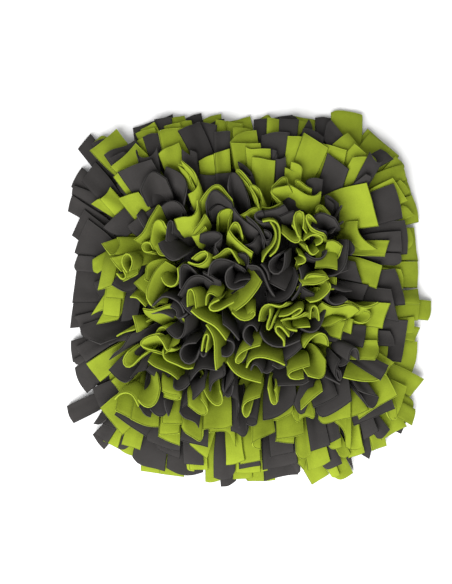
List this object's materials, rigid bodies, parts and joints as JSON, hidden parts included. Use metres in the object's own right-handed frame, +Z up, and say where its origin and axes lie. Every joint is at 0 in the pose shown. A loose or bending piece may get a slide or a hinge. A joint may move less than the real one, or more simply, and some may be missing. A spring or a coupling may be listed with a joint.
{
  "type": "snuffle mat",
  "caption": "Domed snuffle mat of fleece strips in two colours, tied through a flat base sheet; dry treats are hidden in the folds and between the strips.",
  "frame": {"origin": "centre of the underside of the base sheet, where the mat lies on the floor", "axes": "+X to the right and +Y to the far side as the mat is seen from above, +Z up through the crown of the pile"},
  "size_m": [0.4018, 0.4116, 0.0769],
  "materials": {
    "fleece_green": "matte fleece with a short nap",
    "fleece_dark": "matte fleece with a short nap",
    "base_sheet": "matte felted backing"
  },
  "bodies": {
    "root": {"base_sheet": "base_sheet", "comb_edge_east": "fleece_green", "comb_edge_north": "fleece_green", "comb_edge_northeast": "fleece_dark", "comb_edge_northwest": "fleece_dark", "comb_edge_south": "fleece_green", "comb_edge_southeast": "fleece_dark", "comb_edge_southwest": "fleece_dark", "comb_edge_west": "fleece_green", "comb_inner_east": "fleece_dark", "comb_inner_north": "fleece_dark", "comb_inner_northeast": "fleece_green", "comb_inner_northwest": "fleece_green", "comb_inner_south": "fleece_dark", "comb_inner_southeast": "fleece_green", "comb_inner_southwest": "fleece_green", "comb_inner_west": "fleece_dark", "comb_middle_east": "fleece_green", "comb_middle_north": "fleece_green", "comb_middle_northeast": "fleece_dark", "comb_middle_northwest": "fleece_dark", "comb_middle_south": "fleece_green", "comb_middle_southeast": "fleece_dark", "comb_middle_southwest": "fleece_dark", "comb_middle_west": "fleece_green", "comb_outer_east": "fleece_dark", "comb_outer_north": "fleece_dark", "comb_outer_northeast": "fleece_green", "comb_outer_northwest": "fleece_green", "comb_outer_south": "fleece_dark", "comb_outer_southeast": "fleece_green", "comb_outer_southwest": "fleece_green", "comb_outer_west": "fleece_dark", "crown_strip_01": "fleece_green", "crown_strip_02": "fleece_dark", "crown_strip_03": "fleece_dark", "crown_strip_04": "fleece_green", "crown_strip_05": "fleece_dark", "crown_strip_06": "fleece_green", "crown_strip_07": "fleece_dark", "crown_strip_08": "fleece_green", "crown_strip_09": "fleece_dark", "crown_strip_10": "fleece_green", "crown_strip_11": "fleece_dark", "crown_strip_12": "fleece_green", "crown_strip_13": "fleece_dark", "crown_strip_14": "fleece_green", "crown_strip_15": "fleece_green", "crown_strip_16": "fleece_dark"}
  },
  "joints": []
}
